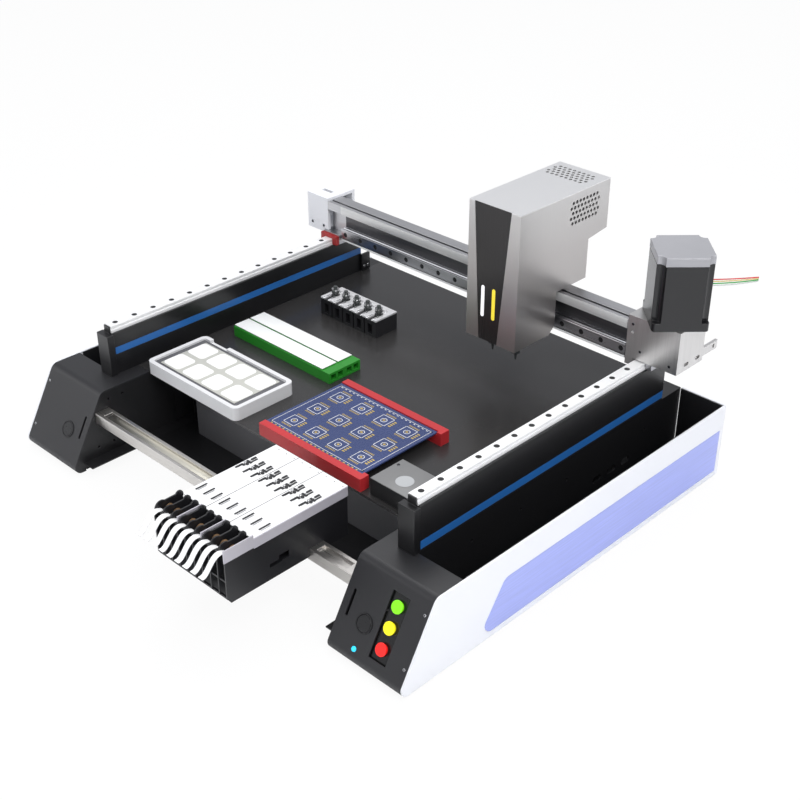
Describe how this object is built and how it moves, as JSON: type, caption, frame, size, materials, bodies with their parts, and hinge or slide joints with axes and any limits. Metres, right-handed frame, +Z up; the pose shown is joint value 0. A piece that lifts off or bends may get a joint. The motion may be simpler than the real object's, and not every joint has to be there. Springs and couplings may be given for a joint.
{
  "type": "desktop pick and place machine",
  "caption": "Desktop pick and place machine: gantry with two-nozzle head over a black deck, tape feeder bank, board clamps, part tray, nozzle changer and push buttons.",
  "frame": {"origin": "middle of the footprint at the bottom of the feet", "axes": "+X to the right along the gantry, +Y from the feeders to the back, +Z up"},
  "size_m": [0.5936, 0.5734, 0.2934],
  "materials": {
    "black_sheet": "satin",
    "white_panel": "satin",
    "blue_panel": "brushed",
    "dark_steel": "satin",
    "rubber": "matte",
    "black_aluminium": "anodised",
    "blue_strip": "satin",
    "rail_steel": "ground",
    "deck_plate": "satin",
    "grey_box": "satin",
    "silver_bar": "satin",
    "feeder_black": "satin",
    "feeder_white": "satin",
    "feeder_grey": "satin",
    "roller_brown": "satin",
    "tape_white": "matte",
    "tray_white": "satin",
    "pad_white": "matte",
    "green_plastic": "satin",
    "white_plastic": "satin",
    "changer_black": "satin",
    "changer_steel": "satin",
    "nozzle_black": "satin",
    "clamp_red": "satin",
    "board_blue": "satin",
    "camera_black": "satin",
    "lens_glass": "gloss",
    "plate_black": "gloss",
    "green_cap": "gloss",
    "yellow_cap": "gloss",
    "red_cap": "gloss",
    "black_cap": "satin",
    "cyan_led": "lit",
    "carriage_steel": "ground",
    "seal_red": "satin",
    "silver_beam": "satin",
    "white_box": "satin",
    "bracket_steel": "brushed",
    "motor_black": "satin",
    "motor_grey": "satin",
    "head_steel": "brushed",
    "insert_dark": "gloss",
    "head_light": "lit",
    "slider_steel": "ground",
    "quill_steel": "dark",
    "wire_red": "satin",
    "wire_yellow": "satin",
    "wire_green": "satin",
    "wire_white": "satin"
  },
  "bodies": {
    "base": {"left_cover": "black_sheet", "right_cover": "black_sheet", "inner_walls": "black_sheet", "left_side_panel": "white_panel", "right_side_panel": "white_panel", "blue_inserts": "blue_panel", "base_floors": "dark_steel", "feet": "rubber", "y_beams": "black_aluminium", "blue_strips": "blue_strip", "y_rails": "rail_steel", "end_blocks": "black_aluminium", "deck": "deck_plate", "electronics_box": "grey_box", "front_bar": "silver_bar", "feeder_frame": "feeder_black", "feeder_plates": "feeder_white", "feeder_lip": "feeder_grey", "feeder_guides": "feeder_black", "feeder_tapes": "tape_white", "part_tray": "tray_white", "tray_pads": "pad_white", "stick_feeders": "green_plastic", "stick_lids": "white_plastic", "changer_block": "changer_black", "changer_plate": "changer_steel", "changer_nozzles": "nozzle_black", "front_clamp": "clamp_red", "circuit_board": "board_blue", "camera_box": "camera_black", "camera_lens": "lens_glass", "button_plate": "plate_black", "status_led": "cyan_led"},
    "gantry": {"y_carriages": "carriage_steel", "carriage_seals": "seal_red", "gantry_beam": "silver_beam", "gantry_rail": "rail_steel", "left_end_box": "white_box", "right_bracket": "bracket_steel", "motor": "motor_black", "motor_cap": "motor_grey", "red_wire": "wire_red", "yellow_wire": "wire_yellow", "green_wire": "wire_green", "white_wire": "wire_white"},
    "head": {"head_cover": "head_steel", "head_insert": "insert_dark", "head_lights": "head_light", "head_slider": "slider_steel"},
    "left_spindle": {"left_quill": "quill_steel"},
    "right_spindle": {"right_quill": "quill_steel"},
    "left_tip": {"left_nozzle": "nozzle_black"},
    "right_tip": {"right_nozzle": "nozzle_black"},
    "green_push": {"green_button": "green_cap"},
    "yellow_push": {"yellow_button": "yellow_cap"},
    "red_push": {"red_button": "red_cap"},
    "left_black_push": {"left_black_button": "black_cap"},
    "right_black_push": {"right_black_button": "black_cap"},
    "rollers": {"feeder_rollers": "roller_brown"},
    "board_stop": {"rear_clamp": "clamp_red"}
  },
  "joints": [
    {"name": "gantry_slide", "type": "slide", "parent": "base", "child": "gantry", "axis": [0, 1, 0], "range_m": [-0.29, 0]},
    {"name": "head_slide", "type": "slide", "parent": "gantry", "child": "head", "axis": [1, 0, 0], "range_m": [-0.255, 0.08]},
    {"name": "left_lift", "type": "slide", "parent": "head", "child": "left_spindle", "axis": [0, 0, 1], "range_m": [-0.014, 0.009]},
    {"name": "right_lift", "type": "slide", "parent": "head", "child": "right_spindle", "axis": [0, 0, 1], "range_m": [-0.014, 0.009]},
    {"name": "left_spin", "type": "hinge", "parent": "left_spindle", "child": "left_tip", "pos_m": [0.0731, 0.162, 0.139], "axis": [0, 0, 1], "continuous": true},
    {"name": "right_spin", "type": "hinge", "parent": "right_spindle", "child": "right_tip", "pos_m": [0.1049, 0.162, 0.139], "axis": [0, 0, 1], "continuous": true},
    {"name": "green_press", "type": "slide", "parent": "base", "child": "green_push", "axis": [0, -0.8693, 0.4943], "range_m": [-0.0018, 0], "stiffness_N_per_m": 500},
    {"name": "yellow_press", "type": "slide", "parent": "base", "child": "yellow_push", "axis": [0, -0.8693, 0.4943], "range_m": [-0.0018, 0], "stiffness_N_per_m": 500},
    {"name": "red_press", "type": "slide", "parent": "base", "child": "red_push", "axis": [0, -0.8693, 0.4943], "range_m": [-0.0018, 0], "stiffness_N_per_m": 500},
    {"name": "left_black_press", "type": "slide", "parent": "base", "child": "left_black_push", "axis": [0, -0.8693, 0.4943], "range_m": [-0.0018, 0], "stiffness_N_per_m": 500},
    {"name": "right_black_press", "type": "slide", "parent": "base", "child": "right_black_push", "axis": [0, -0.8693, 0.4943], "range_m": [-0.0018, 0], "stiffness_N_per_m": 500},
    {"name": "roller_spin", "type": "hinge", "parent": "base", "child": "rollers", "pos_m": [0.09, -0.248, 0.106], "axis": [1, 0, 0], "continuous": true},
    {"name": "board_stop_slide", "type": "slide", "parent": "base", "child": "board_stop", "axis": [0, 1, 0], "range_m": [0, 0.09]}
  ]
}
